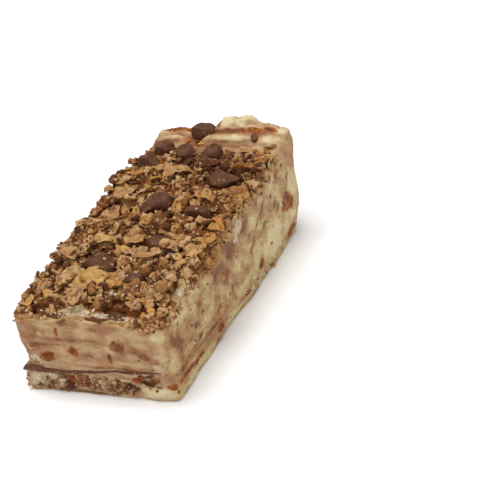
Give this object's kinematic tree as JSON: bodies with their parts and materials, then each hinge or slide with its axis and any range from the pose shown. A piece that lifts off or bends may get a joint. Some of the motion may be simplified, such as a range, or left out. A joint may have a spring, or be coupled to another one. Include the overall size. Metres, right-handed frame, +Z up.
{
  "type": "fudge bar",
  "caption": "Hand-cut bar of marbled nut fudge with a crumbly base, a chocolate seam and a crust of crushed flakes, crumbs and chocolate pieces.",
  "frame": {"origin": "on the base plane, under the middle of the bar's box", "axes": "+X across the bar, +Y along it from the thin near end to the thick far end, +Z up"},
  "size_m": [0.0472, 0.1056, 0.0372],
  "materials": {
    "fudge": "smooth, slightly waxy cream and caramel marbling",
    "base": "crumbly cream fudge with brown crumbs",
    "crust": "dry golden flakes and crumbs",
    "chocolate": "satin milk chocolate"
  },
  "bodies": {
    "root": {"base_layer": "base", "chocolate_seam": "chocolate", "fudge": "fudge", "topping": "crust", "chocolate_01": "chocolate", "chocolate_02": "chocolate", "chocolate_03": "chocolate", "chocolate_04": "chocolate", "chocolate_05": "chocolate", "chocolate_06": "chocolate", "chocolate_07": "chocolate", "chocolate_08": "chocolate", "chocolate_09": "chocolate", "chocolate_10": "chocolate", "chocolate_11": "chocolate", "chocolate_12": "chocolate", "chocolate_13": "chocolate"}
  },
  "joints": []
}
